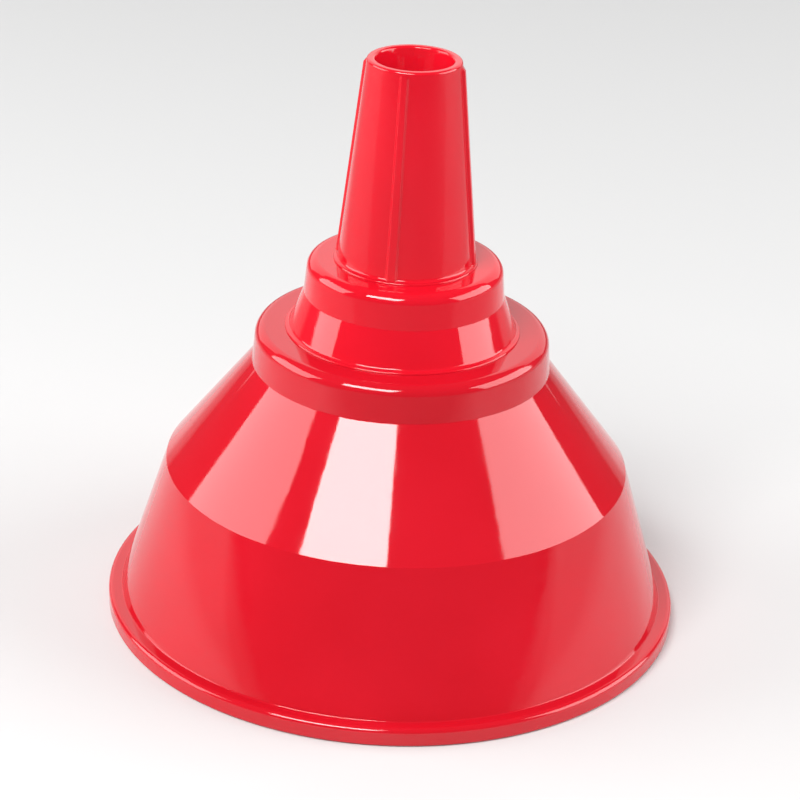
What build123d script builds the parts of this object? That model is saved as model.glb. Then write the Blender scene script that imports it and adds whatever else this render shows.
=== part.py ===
from build123d import *

import os
from math import hypot

# Stepped pouring funnel, standing on its mouth with the spout up.
#
# Three mouldings carry the liquid: a wide bowl, a neck and a spout. The neck stands on the ledge at the top of
# the bowl's collar and the spout stands on the ledge of the neck's collar. Each is a push fit over a short
# spigot on the piece below it. A round strainer, a moulded frame round a mesh disc, is pushed into the recess
# inside the bowl's collar and comes out through the mouth.
#
# Origin: the centre of the mouth, on the flat face that the rim rests on. +Z runs along the funnel's axis to
# the spout's tip. The four vent ribs lie on +X, -X, +Y and -Y. All sizes are in millimetres.

# Overall sizes.
mouth_d = 100.0             # across the rim
height = 100.0              # from the rim's rest face to the spout's tip
outlet_bore_d = 10.0        # clear bore at the spout's tip
wall = 1.5                  # moulded wall, square to the surface

# Rim.
rim_h = 3.2                 # height of the rim's band
rim_w = 2.4                 # how far the band stands out from the foot of the wall
rim_top_round = 0.9
rim_foot_round = 0.5

# Bowl, from the mouth up.
wall_run = 7.6              # how far the steep wall leans in
wall_top_z = 27.5           # height of the crease between the steep wall and the cone
collar_d = 51.0             # outside of the bowl's collar, at its foot
collar_draft = 0.5          # how far the collar's side leans in
collar_foot_z = 46.1
collar_h = 6.3

# Neck: a short cone and a second collar.
neck_foot_d = 38.7
neck_cone_h = 6.5
neck_collar_d = 34.0
neck_collar_draft = 0.5
neck_collar_h = 6.0

# Spout.
spout_foot_d = 23.0
spout_tip_d = 15.7
outlet_land_h = 4.0         # straight stretch of the bore, below the flared lip
lip_flare_h = 7.0           # the bore widens to a thin lip over this height
lip_w = 1.3                 # width of the lip's edge before it is rounded
lip_round = 0.5

# Vent ribs, on the outside of the spout.
rib_count = 4
rib_foot_w = 1.7
rib_tip_w = 1.3
rib_proud = 0.5             # how far a rib stands out from the spout
rib_round = 0.25            # along a rib's two outer edges
rib_tip_gap = 0.6           # from the tip to the top of a rib
rib_tip_slope = 0.35        # the rib's upper end is cut back by this much

# Push fits between the stages.
spigot_h = 4.5
spigot_wall = 1.4
push_clearance = 0.05       # radial gap between a spigot and its socket
toe_h = 0.35                # height of the thin toe round the foot of the neck and of the spout
toe_w = 0.7                 # how far a toe stands out

# Roundings of the shell.
shoulder_round = 1.9        # outer edge of each ledge
crease_round = 0.3
hollow_round = 0.5          # inside corners
toe_hollow = 0.6            # the hollow where a toe runs into its cone

# Strainer.
frame_clearance = 0.1       # gap between the frame's side and the bowl's recess
frame_h = 3.8
frame_w = 2.1               # width of the frame's outer ring
mesh_t = 0.5
mesh_depth = 0.9            # from the frame's upper face down to the mesh
mesh_grip = 1.0             # how far the mesh reaches into the frame's ring
mesh_pitch = 2.4
mesh_hole_w = 1.8
spoke_count = 4
spoke_w = 1.6
spoke_h = 1.4
hub_d = 6.4
stem_d = 3.6                # pull knob: a stem with a wider head
knob_d = 6.4
knob_h = 2.2
knob_drop = 6.5             # from the underside of the mesh down to the end of the knob
knob_round = 0.6

# Worked out from the sizes above.
mouth_r = mouth_d / 2
wall_foot_r = mouth_r - rim_w
crease_r = wall_foot_r - wall_run
collar_r = collar_d / 2
ledge_z = collar_foot_z + collar_h
neck_foot_r = neck_foot_d / 2
neck_collar_r = neck_collar_d / 2
neck_collar_foot_z = ledge_z + neck_cone_h
neck_ledge_z = neck_collar_foot_z + neck_collar_h
spout_foot_r = spout_foot_d / 2
spout_tip_r = spout_tip_d / 2
outlet_r = outlet_bore_d / 2
recess_z = ledge_z - wall
frame_foot_z = recess_z - frame_h
mesh_top_z = recess_z - mesh_depth
mesh_foot_z = mesh_top_z - mesh_t
knob_foot_z = mesh_foot_z - knob_drop


def radius_at(z, foot, top):
    """Radius at height z on the straight line through two (radius, height) points."""
    return foot[0] + (top[0] - foot[0]) * (z - foot[1]) / (top[1] - foot[1])


def inset(points, depth):
    """An open outline moved sideways by depth, to the left of its direction, with its runs met again."""
    moved = []
    for (r0, z0), (r1, z1) in zip(points, points[1:]):
        length = hypot(r1 - r0, z1 - z0)
        along = ((r1 - r0) / length, (z1 - z0) / length)
        moved.append((r0 - along[1] * depth, z0 + along[0] * depth, *along))
    first = moved[0]
    met = [(first[0], first[1])]
    for (r0, z0, u0, v0), (r1, z1, u1, v1) in zip(moved, moved[1:]):
        t = ((r1 - r0) * v1 - (z1 - z0) * u1) / (u0 * v1 - v0 * u1)
        met.append((r0 + u0 * t, z0 + v0 * t))
    last_r, last_z = points[-1]
    return met + [(last_r - along[1] * depth, last_z + along[0] * depth)]


# The outside of each moulding as (radius, height) points from its foot up, and the inside one wall in.
bowl_shell = [(wall_foot_r, rim_h), (crease_r, wall_top_z), (collar_r, collar_foot_z),
              (collar_r - collar_draft, ledge_z), (neck_collar_r, ledge_z)]
neck_shell = [(neck_foot_r, ledge_z + toe_h), (neck_collar_r, neck_collar_foot_z),
              (neck_collar_r - neck_collar_draft, neck_ledge_z), (spout_tip_r, neck_ledge_z)]
spout_shell = [(spout_foot_r, neck_ledge_z + toe_h), (spout_tip_r, height)]
bowl_lining = inset(bowl_shell, wall)
neck_lining = inset(neck_shell, wall)
spout_lining = inset(spout_shell, wall)

# Each socket goes up to where its side meets the lining, and its spigot is smaller by the clearance.
neck_spigot_z = ledge_z + spigot_h
spout_spigot_z = neck_ledge_z + spigot_h
neck_socket_top_z = neck_spigot_z + push_clearance
spout_socket_top_z = spout_spigot_z + push_clearance
neck_socket_r = radius_at(neck_socket_top_z, *neck_lining[:2])
spout_socket_r = radius_at(spout_socket_top_z, *spout_lining)
neck_spigot_r = neck_socket_r - push_clearance
spout_spigot_r = spout_socket_r - push_clearance

# The strainer's frame leans with the recess inside the bowl's collar, which it clears all round.
frame_foot_r = radius_at(frame_foot_z, *bowl_lining[2:4]) - frame_clearance
frame_top_r = bowl_lining[3][0] - frame_clearance
frame_hole_r = frame_top_r - frame_w
mesh_r = frame_hole_r + mesh_grip


def turned(points, rounds):
    """The solid of revolution of a closed (radius, height) outline. rounds is a list of (radius, corners)."""
    with BuildPart() as made:
        with BuildSketch(Plane.XZ):
            with BuildLine():
                Polyline(*points, close=True)
            make_face()
            for size, corners in rounds:
                for corner in corners:
                    fillet(vertices().sort_by_distance(corner)[0], size)
        revolve(axis=Axis.Z)
    return made.part


def bowl():
    """The wide shell: rim, steep wall, cone, collar, ledge and the spigot that the neck is pushed over."""
    rim_foot = (mouth_r, 0)
    rim_top = (mouth_r, rim_h)
    wall_foot, crease, collar_foot, shoulder = bowl_shell[:4]
    inner_crease, recess_mouth, recess_corner = bowl_lining[1:4]
    mouth_edge = (radius_at(0, *bowl_lining[:2]), 0)
    spigot_top = (neck_spigot_r, neck_spigot_z)
    spigot = [(neck_spigot_r, ledge_z), spigot_top, (neck_spigot_r - spigot_wall, neck_spigot_z),
              (neck_spigot_r - spigot_wall, recess_z)]
    outline = [rim_foot, rim_top, wall_foot, crease, collar_foot, shoulder, *spigot,
               recess_corner, recess_mouth, inner_crease, mouth_edge]
    rounds = [(rim_foot_round, [rim_foot]),
              (rim_top_round, [rim_top]),
              (shoulder_round, [shoulder]),
              (crease_round, [crease, inner_crease, wall_foot, collar_foot]),
              (hollow_round, [recess_mouth, recess_corner, mouth_edge, spigot_top])]
    return turned(outline, rounds)


def neck():
    """The middle stage: a foot that stands on the bowl's ledge, a short cone, a collar, a ledge, a spigot."""
    toe = [(neck_foot_r + toe_w, ledge_z), (neck_foot_r + toe_w, ledge_z + toe_h)]
    cone_foot, collar_foot, shoulder = neck_shell[:3]
    inner_collar_foot, inner_shoulder = neck_lining[1:3]
    spigot_top = (spout_spigot_r, spout_spigot_z)
    spigot = [(spout_spigot_r, neck_ledge_z), spigot_top, (spout_spigot_r - spigot_wall, spout_spigot_z),
              (spout_spigot_r - spigot_wall, neck_ledge_z - wall)]
    socket = [(neck_socket_r, neck_socket_top_z), (neck_socket_r, ledge_z)]
    outline = [*toe, cone_foot, collar_foot, shoulder, *spigot, inner_shoulder, inner_collar_foot, *socket]
    rounds = [(shoulder_round, [shoulder]),
              (toe_hollow, [cone_foot]),
              (crease_round, [collar_foot]),
              (hollow_round, [inner_shoulder, inner_collar_foot, spigot_top])]
    return turned(outline, rounds)


def spout():
    """The tapered outlet, with its lip, its socket and the ribs that let air past it in a bottle's neck."""
    toe = [(spout_foot_r + toe_w, neck_ledge_z), (spout_foot_r + toe_w, neck_ledge_z + toe_h)]
    cone_foot, tip = spout_shell
    lip = (spout_tip_r - lip_w, height)
    land = [(outlet_r, height - lip_flare_h), (outlet_r, height - lip_flare_h - outlet_land_h)]
    socket = [(spout_socket_r, spout_socket_top_z), (spout_socket_r, neck_ledge_z)]
    rounds = [(lip_round, [tip, lip]),
              (toe_hollow, [cone_foot])]
    return turned([*toe, cone_foot, tip, lip, *land, *socket], rounds) + ribs()


def ribs():
    """The vent ribs as bars that lean with the spout's wall, sunk into it and proud of it."""
    sunk = wall / 2
    ends = [(neck_ledge_z + toe_h, rib_foot_w), (height - rib_tip_gap, rib_tip_w)]
    with BuildPart() as rib:
        for z, width in ends:
            with BuildSketch(Plane.XY.offset(z)):
                with Locations((radius_at(z, *spout_shell) + (rib_proud - sunk) / 2, 0)):
                    Rectangle(rib_proud + sunk, width)
        loft()
        chamfer(rib.edges().group_by(Axis.Z)[-1].sort_by(Axis.X)[-1], rib_tip_slope)
        fillet(rib.faces().sort_by(Axis.X)[-1].edges().sort_by(SortBy.LENGTH)[-2:], rib_round)
    return PolarLocations(0, rib_count) * rib.part


def strainer_frame():
    """The ring that fits the bowl's recess, grooved for the mesh, with spokes and a pull knob below it."""
    outer_foot = (frame_foot_r, frame_foot_z)
    outer_top = (frame_top_r, recess_z)
    inner_top = (frame_hole_r, recess_z)
    inner_foot = (frame_hole_r, frame_foot_z)
    groove = [(frame_hole_r, mesh_top_z), (mesh_r, mesh_top_z), (mesh_r, mesh_foot_z),
              (frame_hole_r, mesh_foot_z)]
    # The upper edge is rounded more than the recess's corner, so that the ring seats on its face.
    rounds = [(hollow_round + frame_clearance, [outer_top]),
              (hollow_round, [outer_foot, inner_foot])]
    ring = turned([outer_foot, outer_top, inner_top, *groove, inner_foot], rounds)
    return ring + spokes() + knob()


def spokes():
    """The bars that hold the mesh up, from the hub to the ring."""
    reach = frame_hole_r + frame_w / 2
    with BuildPart() as made:
        with PolarLocations(0, spoke_count):
            with Locations((reach / 2, 0, mesh_foot_z - spoke_h / 2)):
                Box(reach, spoke_w, spoke_h)
    return made.part


def knob():
    """The hub under the mesh, with a stem and a head to pull the strainer out by."""
    hub_r = hub_d / 2
    stem_r = stem_d / 2
    head_r = knob_d / 2
    hub_foot_z = mesh_foot_z - spoke_h
    head_top_z = knob_foot_z + knob_h
    head_edges = [(head_r, head_top_z), (head_r, knob_foot_z)]
    outline = [(0, mesh_foot_z), (hub_r, mesh_foot_z), (hub_r, hub_foot_z), (stem_r, hub_foot_z),
               (stem_r, head_top_z), *head_edges, (0, knob_foot_z)]
    return turned(outline, [(knob_round, [*head_edges, (stem_r, hub_foot_z)])])


def strainer_mesh():
    """The straining disc, with square holes in straight rows wherever a whole hole clears the frame."""
    limit = frame_hole_r - (mesh_pitch - mesh_hole_w)
    rows = int(limit / mesh_pitch)
    steps = [(row + 0.5) * mesh_pitch for row in range(-rows - 1, rows + 1)]
    corner = mesh_hole_w / 2
    holes = [(x, y) for x in steps for y in steps if hypot(abs(x) + corner, abs(y) + corner) < limit]
    with BuildPart() as made:
        with BuildSketch(Plane.XY.offset(mesh_foot_z)):
            Circle(mesh_r)
            with Locations(*holes):
                Rectangle(mesh_hole_w, mesh_hole_w, mode=Mode.SUBTRACT)
        extrude(amount=mesh_t)
    return made.part


parts = {"bowl": bowl, "neck": neck, "spout": spout, "strainer_frame": strainer_frame,
         "strainer_mesh": strainer_mesh}

os.makedirs("parts", exist_ok=True)
for name, make in parts.items():
    export_step(make(), f"parts/{name}.step")
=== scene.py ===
import math

import bpy
from mathutils import Matrix, Vector


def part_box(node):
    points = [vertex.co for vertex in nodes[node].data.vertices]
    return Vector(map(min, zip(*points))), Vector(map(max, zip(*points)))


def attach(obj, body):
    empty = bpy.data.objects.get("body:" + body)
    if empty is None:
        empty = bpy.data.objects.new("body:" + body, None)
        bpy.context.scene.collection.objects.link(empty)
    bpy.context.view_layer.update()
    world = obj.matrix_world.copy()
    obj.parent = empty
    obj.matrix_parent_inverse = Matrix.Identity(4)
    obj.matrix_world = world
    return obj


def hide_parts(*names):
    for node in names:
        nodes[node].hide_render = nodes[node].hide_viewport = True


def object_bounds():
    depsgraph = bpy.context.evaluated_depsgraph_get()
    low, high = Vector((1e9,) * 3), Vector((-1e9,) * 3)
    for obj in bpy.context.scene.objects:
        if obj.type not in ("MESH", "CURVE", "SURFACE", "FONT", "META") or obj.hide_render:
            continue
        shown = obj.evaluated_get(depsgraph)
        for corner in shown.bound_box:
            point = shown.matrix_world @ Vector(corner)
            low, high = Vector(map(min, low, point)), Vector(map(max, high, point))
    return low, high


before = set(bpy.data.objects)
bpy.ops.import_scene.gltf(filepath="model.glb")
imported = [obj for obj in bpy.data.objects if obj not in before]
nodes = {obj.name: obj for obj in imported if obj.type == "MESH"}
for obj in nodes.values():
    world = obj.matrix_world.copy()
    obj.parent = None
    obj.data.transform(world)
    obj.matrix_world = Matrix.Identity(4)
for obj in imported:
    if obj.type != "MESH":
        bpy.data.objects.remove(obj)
cad_low, cad_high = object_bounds()
MM = 0.001

# A stepped pouring funnel that stands on its mouth. Its shells are turned again here in finer steps than the
# CAD's mesh, with softer toes and ribs, and the strainer's disc becomes woven wire.

# ---------------------------------------------------------------- sizes in millimetres, as in the CAD part

# Overall.
MOUTH_R = cad_high.x / MM
HEIGHT = cad_high.z / MM
WALL = 1.5
DRAFT = 0.5

# Bowl.
RIM_H, RIM_W = 3.2, 2.4
WALL_RUN, WALL_TOP_Z = 7.6, 27.5
COLLAR_R, COLLAR_FOOT_Z, COLLAR_H = 25.5, 46.1, 6.3

# Neck.
NECK_FOOT_R, NECK_CONE_H = 19.35, 6.5
NECK_COLLAR_R, NECK_COLLAR_H = 17.0, 6.0

# Spout and its outlet.
SPOUT_FOOT_R, SPOUT_TIP_R = 11.5, 7.85
OUTLET_R, LAND_H, FLARE_H, LIP_W = 5.0, 4.0, 7.0, 1.3

# Push fits, and the thin toe round the foot of the neck and of the spout.
SPIGOT_H, SPIGOT_WALL, PUSH_GAP = 4.5, 1.4, 0.05
TOE_H, TOE_W = 0.35, 0.7

# Vent ribs, with their widths at the foot and at the tip.
RIBS = 4
RIB_W, RIB_PROUD, RIB_TIP_GAP, RIB_SLOPE = (1.7, 1.3), 0.5, 0.6, 0.35

# Heights of the ledges and of the neck's collar.
LEDGE_Z = COLLAR_FOOT_Z + COLLAR_H
NECK_COLLAR_Z = LEDGE_Z + NECK_CONE_H
NECK_LEDGE_Z = NECK_COLLAR_Z + NECK_COLLAR_H

# ---------------------------------------------------------------- roundings, in millimetres

SHOULDER, CREASE, HOLLOW = 1.9, 0.3, 0.5
RIM_FOOT_ROUND, RIM_TOP_ROUND = 0.5, 0.9
LIP_ROUND, OUTLET_ROUND = 0.5, 0.5
SPIGOT_EDGE, SPIGOT_ROOT, SOCKET_EDGE = 0.15, 0.2, 0.1
TOE_FOOT_ROUND, TOE_TOP_ROUND, TOE_HOLLOW = 0.04, 0.28, 0.6
RIB_FLANK, RIB_FLANK_OUT = 0.5, 0.2     # the width of a rib's soft side, and its part beyond the rib's width

# ---------------------------------------------------------------- steps of the meshes

AROUND = 288
ARC_STEP, LEAST_ARC_STEPS = math.radians(7), 3
NOTHING = 1e-6              # a run or a rounding shorter than this is left out, in millimetres
RIB_SPAN, RIB_STEPS = 0.16, 40      # fine steps reach this far to each side of a rib, in radians
SPOUT_ROW = 0.8             # height of the spout's rows of faces, in millimetres


# ---------------------------------------------------------------- turned shells

def radius_at(z, foot, top):
    """The radius at height z on the straight line through two (r, z) points."""
    return foot[0] + (top[0] - foot[0]) * (z - foot[1]) / (top[1] - foot[1])


def inset(points, depth):
    """An open outline moved sideways by depth, with its runs met again."""
    runs = []
    for (r0, z0), (r1, z1) in zip(points, points[1:]):
        length = math.hypot(r1 - r0, z1 - z0)
        u, v = (r1 - r0) / length, (z1 - z0) / length
        runs.append((r0 - v * depth, z0 + u * depth, u, v))
    met = [runs[0][:2]]
    for (r0, z0, u0, v0), (r1, z1, u1, v1) in zip(runs, runs[1:]):
        t = ((r1 - r0) * v1 - (z1 - z0) * u1) / (u0 * v1 - v0 * u1)
        met.append((r0 + u0 * t, z0 + v0 * t))
    u, v = runs[-1][2:]
    return met + [(points[-1][0] - v * depth, points[-1][1] + u * depth)]


def turned(x, y, angle):
    """A flat direction turned by an angle."""
    return x * math.cos(angle) - y * math.sin(angle), x * math.sin(angle) + y * math.cos(angle)


def corner_turn(before, corner, after):
    """A corner's place, the ways into and out of it, its turn, its rounding and how far that reaches."""
    (r0, z0, _), (r1, z1, size), (r2, z2, _) = before, corner, after
    way_in = Vector((r1 - r0, z1 - z0)).normalized()
    way_out = Vector((r2 - r1, z2 - z1)).normalized()
    turn = math.atan2(way_in.x * way_out.y - way_in.y * way_out.x, way_in.dot(way_out))
    return Vector((r1, z1)), way_in, way_out, turn, size, size * math.tan(abs(turn) / 2)


def arc_strips(at, way_in, turn, size, reach):
    """The strips of one rounded corner."""
    side = 1 if turn > 0 else -1
    centre = at - way_in * reach + side * size * Vector((-way_in.y, way_in.x))
    steps = max(LEAST_ARC_STEPS, math.ceil(abs(turn) / ARC_STEP))
    arc = []
    for k in range(steps + 1):
        normal = Vector(turned(way_in.y, -way_in.x, turn * k / steps))
        arc.append((*(centre + side * size * normal), *normal))
    return list(zip(arc, arc[1:]))


def outline_strips(corners):
    """Strips round a closed outline of (r, z, rounding) corners, with ends (r, z, normal r, normal z)."""
    around = zip(corners[-1:] + corners, corners, corners[1:] + corners[:1])
    turns = [corner_turn(*three) for three in around]
    strips = []
    for here, following in zip(turns, turns[1:] + turns[:1]):
        at, way_in, way_out, turn, size, reach = here
        if reach > NOTHING:
            strips += arc_strips(at, way_in, turn, size, reach)
        start, end = at + way_out * reach, following[0] - way_out * following[5]
        if (end - start).length > NOTHING:
            normal = (way_out.y, -way_out.x)
            strips.append(((*start, *normal), (*end, *normal)))
    return strips


def cut_into_rows(strips, height):
    """The same strips, with the long ones cut into rows of about the given height."""
    rows = []
    for p, q in strips:
        pieces = max(1, round(math.hypot(q[0] - p[0], q[1] - p[1]) / height))
        ends = [tuple(a + (b - a) * k / pieces for a, b in zip(p, q)) for k in range(pieces + 1)]
        rows += list(zip(ends, ends[1:]))
    return rows


def turned_mesh(name, strips, angles, radius, normal):
    """A closed surface of revolution, with radius(r, z, angle) and normal(end, angle) at its points."""
    count = len(angles)
    verts = []
    for (ring_r, z, _, _), _ in strips:
        for angle in angles:
            r = radius(ring_r, z, angle)
            verts.append((r * math.cos(angle) * MM, r * math.sin(angle) * MM, z * MM))
    faces, normals = [], []
    for i, (start, end) in enumerate(strips):
        j = (i + 1) % len(strips)
        starts = [normal(start, angle) for angle in angles]
        ends = [normal(end, angle) for angle in angles]
        for k in range(count):
            m = (k + 1) % count
            faces.append((i * count + k, i * count + m, j * count + m, j * count + k))
            normals += [starts[k], starts[m], ends[m], ends[k]]
    mesh = bpy.data.meshes.new(name)
    mesh.from_pydata(verts, [], faces)
    mesh.polygons.foreach_set("use_smooth", [True] * len(faces))
    mesh.normals_split_custom_set(normals)
    return mesh


def round_radius(r, z, angle):
    return r


def round_normal(end, angle):
    normal_r, normal_z = end[2:]
    return (normal_r * math.cos(angle), normal_r * math.sin(angle), normal_z)


def round_shell(name, corners):
    angles = [2 * math.pi * k / AROUND for k in range(AROUND)]
    return turned_mesh(name, outline_strips(corners), angles, round_radius, round_normal)


bowl_shell = [(MOUTH_R - RIM_W, RIM_H), (MOUTH_R - RIM_W - WALL_RUN, WALL_TOP_Z), (COLLAR_R, COLLAR_FOOT_Z),
              (COLLAR_R - DRAFT, LEDGE_Z), (NECK_COLLAR_R, LEDGE_Z)]
neck_shell = [(NECK_FOOT_R, LEDGE_Z + TOE_H), (NECK_COLLAR_R, NECK_COLLAR_Z),
              (NECK_COLLAR_R - DRAFT, NECK_LEDGE_Z), (SPOUT_TIP_R, NECK_LEDGE_Z)]
spout_shell = [(SPOUT_FOOT_R, NECK_LEDGE_Z + TOE_H), (SPOUT_TIP_R, HEIGHT)]
bowl_lining, neck_lining, spout_lining = (inset(s, WALL) for s in (bowl_shell, neck_shell, spout_shell))


def socket_top(ledge_z, lining):
    """Where the socket over a ledge's spigot meets the lining above it, as (r, z)."""
    z = ledge_z + SPIGOT_H + PUSH_GAP
    return radius_at(z, *lining[:2]), z


neck_socket = socket_top(LEDGE_Z, neck_lining)
spout_socket = socket_top(NECK_LEDGE_Z, spout_lining)


def spigot(socket, ledge_z):
    """The corners of the spigot that a socket goes over, from its root up and down its hole."""
    outer, inner = socket[0] - PUSH_GAP, socket[0] - PUSH_GAP - SPIGOT_WALL
    top = ledge_z + SPIGOT_H
    return [(outer, ledge_z, SPIGOT_EDGE), (outer, top, HOLLOW), (inner, top, SPIGOT_EDGE),
            (inner, ledge_z - WALL, SPIGOT_ROOT)]


def toe(foot_r, ledge_z):
    """The outer corners of the toe that lies on a ledge."""
    return [(foot_r + TOE_W, ledge_z, TOE_FOOT_ROUND), (foot_r + TOE_W, ledge_z + TOE_H, TOE_TOP_ROUND)]


def bowl_mesh():
    foot, crease, collar, shoulder = bowl_shell[:4]
    inner_crease, recess_mouth, recess_corner = bowl_lining[1:4]
    mouth_edge = (radius_at(0, *bowl_lining[:2]), 0)
    corners = [(MOUTH_R, 0, RIM_FOOT_ROUND), (MOUTH_R, RIM_H, RIM_TOP_ROUND), (*foot, CREASE),
               (*crease, CREASE), (*collar, CREASE), (*shoulder, SHOULDER), *spigot(neck_socket, LEDGE_Z),
               (*recess_corner, HOLLOW), (*recess_mouth, HOLLOW), (*inner_crease, CREASE),
               (*mouth_edge, HOLLOW)]
    return round_shell("bowl_shell", corners)


def neck_mesh():
    foot, collar, shoulder = neck_shell[:3]
    inner_collar, inner_shoulder = neck_lining[1:3]
    corners = [*toe(NECK_FOOT_R, LEDGE_Z), (*foot, TOE_HOLLOW), (*collar, CREASE), (*shoulder, SHOULDER),
               *spigot(spout_socket, NECK_LEDGE_Z), (*inner_shoulder, HOLLOW), (*inner_collar, HOLLOW),
               (*neck_socket, 0.0), (neck_socket[0], LEDGE_Z, SOCKET_EDGE)]
    return round_shell("neck_shell", corners)


def rib_angles():
    """Angles round the spout, close together across each rib."""
    quarter = 2 * math.pi / RIBS
    fine = [-RIB_SPAN + 2 * RIB_SPAN * k / RIB_STEPS for k in range(RIB_STEPS + 1)]
    wide = [RIB_SPAN + (quarter - 2 * RIB_SPAN) * k / RIB_STEPS for k in range(1, RIB_STEPS)]
    return [q * quarter + a for q in range(RIBS) for a in (*fine, *wide)]


def smooth(t):
    """A step from 0 to 1 with soft ends."""
    t = min(1.0, max(0.0, t))
    return t * t * (3 - 2 * t)


def on_spout_wall(r, z):
    """Whether a point is on the spout's outer wall or its toe, and not on its foot, its lip or its bore."""
    line = radius_at(z, *spout_shell)
    skin, above_foot, past_toe = 0.3, 0.2, TOE_W + 0.1
    return line - skin <= r <= line + past_toe and z >= NECK_LEDGE_Z + above_foot


def ribbed_radius(r, z, angle):
    """The spout's radius with its soft-edged ribs on it."""
    if not on_spout_wall(r, z):
        return r
    line = radius_at(z, *spout_shell)
    foot_w, tip_w = RIB_W
    foot_z = spout_shell[0][1]
    half = (foot_w + (tip_w - foot_w) * (z - foot_z) / (HEIGHT - foot_z)) / 2
    quarter = 2 * math.pi / RIBS
    off = abs((angle + quarter / 2) % quarter - quarter / 2) * line
    across = smooth((half + RIB_FLANK_OUT - off) / RIB_FLANK)
    along = smooth((HEIGHT - RIB_TIP_GAP - z) / RIB_SLOPE)
    return max(r, line + RIB_PROUD * across * along) if across * along > 0 else r


def ribbed_normal(end, angle):
    """The normal from a rib's slopes where it stands out, and the outline's normal elsewhere."""
    r, z, normal_r, _ = end
    faces_out, stands_out = 0.2, 1e-5
    if normal_r <= faces_out or ribbed_radius(r, z, angle) - r <= stands_out:
        return round_normal(end, angle)
    turn, lift = 1e-4, 0.05
    around = (ribbed_radius(r, z, angle + turn) - ribbed_radius(r, z, angle - turn)) / (2 * turn * r)
    rise = (ribbed_radius(r, z + lift, angle) - ribbed_radius(r, z - lift, angle)) / (2 * lift)
    n = Vector((1.0, -around, -rise)).normalized()
    return (*turned(n.x, n.y, angle), n.z)


def spout_mesh():
    foot, tip = spout_shell
    land_top = HEIGHT - FLARE_H
    corners = [*toe(SPOUT_FOOT_R, NECK_LEDGE_Z), (*foot, TOE_HOLLOW), (*tip, LIP_ROUND),
               (SPOUT_TIP_R - LIP_W, HEIGHT, LIP_ROUND), (OUTLET_R, land_top, OUTLET_ROUND),
               (OUTLET_R, land_top - LAND_H, OUTLET_ROUND), (*spout_socket, SOCKET_EDGE),
               (spout_socket[0], NECK_LEDGE_Z, SOCKET_EDGE)]
    rows = cut_into_rows(outline_strips(corners), SPOUT_ROW)
    return turned_mesh("spout_shell", rows, rib_angles(), ribbed_radius, ribbed_normal)


# ---------------------------------------------------------------- woven mesh, in metres

WEAVE_PITCH = 0.0012
WIRE_R = 0.00013
WIRE_SIDES = 6
STEPS_PER_PITCH = 4
GROOVE_GAP = 0.0003         # the wires end this far inside the CAD disc's edge


def weave_point(s, row, turn, swing):
    """A wire's height over the middle of the disc and its slope, at the distance s along it."""
    phase = math.pi * (s / WEAVE_PITCH + row + turn)
    return swing * math.cos(phase), -swing * math.pi / WEAVE_PITCH * math.sin(phase)


def wire_rings(row, turn, reach, middle, swing):
    """Rings of points round one wire. turn is 0 for the wires along X and 1 for those along Y."""
    off = row * WEAVE_PITCH
    half = math.sqrt(max(0.0, reach * reach - off * off))
    steps = max(STEPS_PER_PITCH, int(2 * half / WEAVE_PITCH * STEPS_PER_PITCH))
    rings = []
    for k in range(steps + 1):
        s = -half + 2 * half * k / steps
        height, slope = weave_point(s, row, turn, swing)
        tilt = 1 / math.hypot(1, slope)
        ring = []
        for m in range(WIRE_SIDES):
            a = 2 * math.pi * m / WIRE_SIDES
            side, lift = WIRE_R * math.cos(a), WIRE_R * math.sin(a)
            along, across = s - lift * slope * tilt, off + side
            z = middle + height + lift * tilt
            ring.append((across, along, z) if turn else (along, across, z))
        rings.append(ring)
    return rings


def tube_faces(first, count):
    """The faces of a closed tube of count rings, whose points start at the number first."""
    sides = range(WIRE_SIDES)
    rings = [[first + k * WIRE_SIDES + m for m in sides] for k in range(count)]
    faces = [(p[m], q[m], q[m - 1], p[m - 1]) for p, q in zip(rings, rings[1:]) for m in sides]
    return faces + [tuple(rings[0][::-1]), tuple(rings[-1])]


def woven_mesh():
    """A disc of plain-woven wire in the strainer frame's groove."""
    low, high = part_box("strainer_mesh")
    reach = high.x - GROOVE_GAP
    middle = (low.z + high.z) / 2
    swing = (high.z - low.z) / 2 - WIRE_R
    rows = int(reach / WEAVE_PITCH)
    verts, faces = [], []
    for turn in (0, 1):
        for row in range(-rows, rows + 1):
            rings = wire_rings(row, turn, reach, middle, swing)
            tube = tube_faces(len(verts), len(rings))
            faces += [face[::-1] for face in tube] if turn else tube
            verts += [point for ring in rings for point in ring]
    mesh = bpy.data.meshes.new("woven_mesh")
    mesh.from_pydata(verts, [], faces)
    mesh.polygons.foreach_set("use_smooth", [len(face) == 4 for face in faces])
    return mesh


# ---------------------------------------------------------------- materials

# Noise scales, in lumps to the metre.
FLOW_MARKS, HANDLING, ORANGE_PEEL, GRAIN = 38.0, 160.0, 420.0, 3200.0
WIRE_WEAR, WIRE_DRAWING = 900.0, 6000.0
PAPER_TOOTH = 700.0

# Bump depths, in metres.
PEEL_DEPTH, GRAIN_DEPTH = 0.000006, 0.0000015
DRAWING_DEPTH = 0.000008
TOOTH_DEPTH = 0.00002

# Roughness of polished plastic, of satin plastic and of wire, from the smoothest spots to the roughest.
GLOSSY, SATIN, DRAWN = (0.035, 0.08), (0.22, 0.34), (0.22, 0.42)


def new_material(name):
    """A material, its node tree, its shader and the object's own coordinates."""
    material = bpy.data.materials.new(name)
    material.use_nodes = True
    tree = material.node_tree
    place = tree.nodes.new("ShaderNodeTexCoord").outputs["Object"]
    return material, tree, tree.nodes["Principled BSDF"], place


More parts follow.
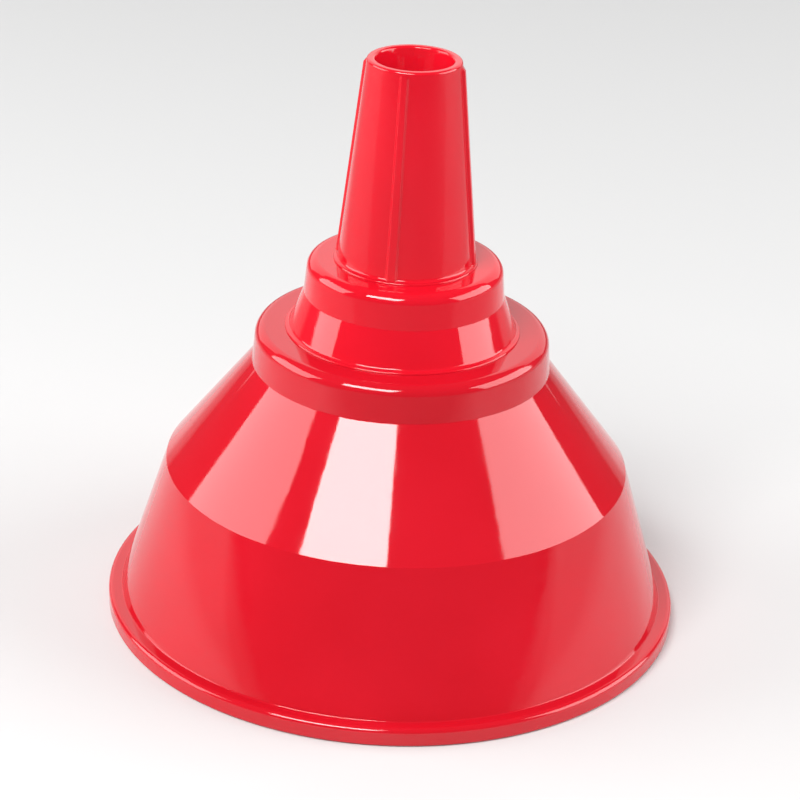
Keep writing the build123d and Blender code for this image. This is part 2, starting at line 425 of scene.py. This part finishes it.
def noise(tree, coordinate, scale, detail=3.0):
    node = tree.nodes.new("ShaderNodeTexNoise")
    node.inputs["Scale"].default_value = scale
    node.inputs["Detail"].default_value = detail
    tree.links.new(coordinate, node.inputs["Vector"])
    return node.outputs["Fac"]


def spread(tree, value, low, high, start=0.3, end=0.7):
    """A value between low and high as the input goes from start to end."""
    node = tree.nodes.new("ShaderNodeMapRange")
    node.inputs["From Min"].default_value = start
    node.inputs["From Max"].default_value = end
    node.inputs["To Min"].default_value = low
    node.inputs["To Max"].default_value = high
    tree.links.new(value, node.inputs["Value"])
    return node.outputs["Result"]


def bump(tree, height, depth, below=None):
    """A bump of the given depth, on top of another one if there is one below it."""
    node = tree.nodes.new("ShaderNodeBump")
    node.inputs["Strength"].default_value = 1.0
    node.inputs["Distance"].default_value = depth
    tree.links.new(height, node.inputs["Height"])
    if below:
        tree.links.new(below, node.inputs["Normal"])
    return node.outputs["Normal"]


def moulded_plastic(name, deep, bright, roughness=GLOSSY, peel_depth=PEEL_DEPTH):
    """Moulded polypropylene: faint flow marks in its colour, a breath of orange peel, fine handling marks."""
    material, tree, shader, place = new_material(name)
    ramp = tree.nodes.new("ShaderNodeValToRGB")
    first, last = ramp.color_ramp.elements
    first.position, first.color = 0.32, (*deep, 1.0)
    last.position, last.color = 0.68, (*bright, 1.0)
    tree.links.new(noise(tree, place, FLOW_MARKS, 2.0), ramp.inputs["Fac"])
    tree.links.new(ramp.outputs["Color"], shader.inputs["Base Color"])
    tree.links.new(spread(tree, noise(tree, place, HANDLING, 4.0), *roughness), shader.inputs["Roughness"])
    peel = bump(tree, noise(tree, place, ORANGE_PEEL, 1.0), peel_depth)
    tree.links.new(bump(tree, noise(tree, place, GRAIN, 2.0), GRAIN_DEPTH, peel), shader.inputs["Normal"])
    shader.inputs["IOR"].default_value = 1.5
    shader.inputs["Subsurface Weight"].default_value = 0.06
    shader.inputs["Subsurface Radius"].default_value = (1.0, 0.08, 0.06)
    shader.inputs["Subsurface Scale"].default_value = 0.002
    return material


def steel_wire():
    """Drawn stainless wire."""
    material, tree, shader, place = new_material("steel_wire")
    shader.inputs["Base Color"].default_value = (0.56, 0.55, 0.53, 1.0)
    shader.inputs["Metallic"].default_value = 1.0
    tree.links.new(spread(tree, noise(tree, place, WIRE_WEAR), *DRAWN), shader.inputs["Roughness"])
    tree.links.new(bump(tree, noise(tree, place, WIRE_DRAWING), DRAWING_DEPTH), shader.inputs["Normal"])
    return material


# The floor is pale round the funnel. From the first distance to the second, in metres, it fades to its shade
# at the side or in front, where it would otherwise light the collars and the spout.
FLOOR_PALE = 0.62
FLOOR_SIDE, SIDE_SHADE = (0.135, 0.21), 0.34
FLOOR_FRONT, FRONT_SHADE = (0.085, 0.15), 0.20


def pale_floor():
    """Matt pale paper with a faint tooth, shaded outside the camera's view."""
    material, tree, shader, place = new_material("pale_floor")
    turn = tree.nodes.new("ShaderNodeMapping")
    turn.inputs["Rotation"].default_value = (0.0, 0.0, math.radians(-VIEW_AZIMUTH))
    split = tree.nodes.new("ShaderNodeSeparateXYZ")
    tree.links.new(place, turn.inputs["Vector"])
    tree.links.new(turn.outputs["Vector"], split.inputs["Vector"])
    off = tree.nodes.new("ShaderNodeMath")
    off.operation = "ABSOLUTE"
    tree.links.new(split.outputs["X"], off.inputs[0])
    across = spread(tree, off.outputs["Value"], FLOOR_PALE, SIDE_SHADE, *FLOOR_SIDE)
    ahead = spread(tree, split.outputs["Y"], FLOOR_PALE, FRONT_SHADE, -FLOOR_FRONT[0], -FLOOR_FRONT[1])
    darker = tree.nodes.new("ShaderNodeMath")
    darker.operation = "MINIMUM"
    tree.links.new(across, darker.inputs[0])
    tree.links.new(ahead, darker.inputs[1])
    tree.links.new(darker.outputs["Value"], shader.inputs["Base Color"])
    tree.links.new(bump(tree, noise(tree, place, PAPER_TOOTH), TOOTH_DEPTH), shader.inputs["Normal"])
    shader.inputs["Roughness"].default_value = 0.7
    shader.inputs["Specular IOR Level"].default_value = 0.2
    return material


# ---------------------------------------------------------------- camera, light and floor

VIEW_AZIMUTH = 11.0         # the camera's way round the funnel, in degrees
VIEW_DISTANCE, VIEW_RISE = 0.40616, 0.22875     # out from the axis and up from the floor, in metres
VIEW_YAW, VIEW_PITCH, VIEW_ROLL = 0.0004, 0.438, 0.0467     # in radians
LENS, SENSOR = 116.85, 36.0         # in millimetres
FLOOR_HALF, FLOOR_Z = 3.0, -0.05 * MM       # in metres; the floor lies just clear of the rim
LIGHT_AIM = Vector((0.0, 0.0, 0.04))


def link(name, data):
    thing = bpy.data.objects.new(name, data)
    bpy.context.scene.collection.objects.link(thing)
    return thing


def make_camera():
    """The photograph's view: a long lens, looking down on the funnel, with a slight tilt of the horizon."""
    yaw, pitch, roll = VIEW_YAW, VIEW_PITCH, VIEW_ROLL
    ahead = Vector((math.sin(yaw) * math.cos(pitch), math.cos(yaw) * math.cos(pitch), -math.sin(pitch)))
    level = Vector((math.cos(yaw), -math.sin(yaw), 0.0))
    above = level.cross(ahead)
    right = math.cos(roll) * level + math.sin(roll) * above
    up = -math.sin(roll) * level + math.cos(roll) * above
    turn = Matrix((right, up, -ahead)).transposed().to_4x4()
    around = Matrix.Rotation(math.radians(VIEW_AZIMUTH), 4, "Z")
    camera = link("camera", bpy.data.cameras.new("camera"))
    camera.matrix_world = around @ Matrix.Translation((0.0, -VIEW_DISTANCE, VIEW_RISE)) @ turn
    camera.data.sensor_width = SENSOR
    camera.data.lens = LENS
    camera.data.clip_start = 0.01
    camera.data.clip_end = 20.0
    bpy.context.scene.camera = camera


def softbox(name, azimuth, elevation, wide, high, radiance, distance=0.9):
    """A softbox facing the funnel, wide by high degrees. Azimuth is from the camera's side to the right."""
    a, e = math.radians(azimuth + VIEW_AZIMUTH), math.radians(elevation)
    way = Vector((math.sin(a) * math.cos(e), -math.cos(a) * math.cos(e), math.sin(e)))
    lamp = bpy.data.lights.new(name, "AREA")
    lamp.shape = "RECTANGLE"
    lamp.size = 2 * distance * math.tan(math.radians(wide / 2))
    lamp.size_y = 2 * distance * math.tan(math.radians(high / 2))
    lamp.energy = radiance * math.pi * lamp.size * lamp.size_y
    holder = link(name, lamp)
    holder.location = LIGHT_AIM + way * distance
    holder.rotation_mode = "QUATERNION"
    holder.rotation_quaternion = way.to_track_quat("Z", "Y")


def make_light():
    softbox("front_left_box", azimuth=-27.0, elevation=48.0, wide=34.0, high=18.0, radiance=19.0)
    softbox("left_box", azimuth=-92.0, elevation=22.0, wide=42.0, high=36.0, radiance=4.7)
    softbox("right_box", azimuth=90.0, elevation=22.0, wide=52.0, high=38.0, radiance=5.0)
    softbox("back_box", azimuth=180.0, elevation=26.0, wide=90.0, high=40.0, radiance=1.1, distance=1.6)
    world = bpy.data.worlds.new("room")
    world.use_nodes = True
    back = world.node_tree.nodes["Background"]
    back.inputs["Color"].default_value = (1.0, 0.98, 0.97, 1.0)
    back.inputs["Strength"].default_value = 0.12
    bpy.context.scene.world = world


def make_floor():
    ends = [(-1, -1), (1, -1), (1, 1), (-1, 1)]
    mesh = bpy.data.meshes.new("floor")
    mesh.from_pydata([(x * FLOOR_HALF, y * FLOOR_HALF, FLOOR_Z) for x, y in ends], [], [(0, 1, 2, 3)])
    mesh.materials.append(pale_floor())
    floor = link("floor", mesh)


make_camera()
make_light()
make_floor()


# ---------------------------------------------------------------- the funnel's pieces

def add(name, mesh, body, material, stands_for):
    """A piece that rides on a body in place of a CAD node."""
    piece = link(name, mesh)
    mesh.materials.append(material)
    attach(piece, body)
    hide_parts(stands_for)


# The neck and the spout get a brighter copy of the bowl's red. The extra brightness is painted light: it
# stands in for light that makes these thin upper pieces look brighter, not for a different plastic.
bowl_red = moulded_plastic("moulded_red", (0.50, 0.0050, 0.0135), (0.54, 0.0066, 0.0170))
upper_red_painted_light = moulded_plastic("upper_red_painted_light", (0.58, 0.0046, 0.0150), (0.64, 0.0060, 0.0185))
frame_red = moulded_plastic("frame_red", (0.42, 0.0060, 0.0130), (0.47, 0.0075, 0.0160), SATIN,
                            peel_depth=2 * PEEL_DEPTH)
add("bowl_shell", bowl_mesh(), "bowl", bowl_red, "bowl")
add("neck_shell", neck_mesh(), "neck", upper_red_painted_light, "neck")
add("spout_shell", spout_mesh(), "spout", upper_red_painted_light, "spout")
add("woven_mesh", woven_mesh(), "strainer", steel_wire(), "strainer_mesh")
nodes["strainer_frame"].data.materials.clear()
nodes["strainer_frame"].data.materials.append(frame_red)

bpy.context.scene.view_settings.view_transform = "Standard"
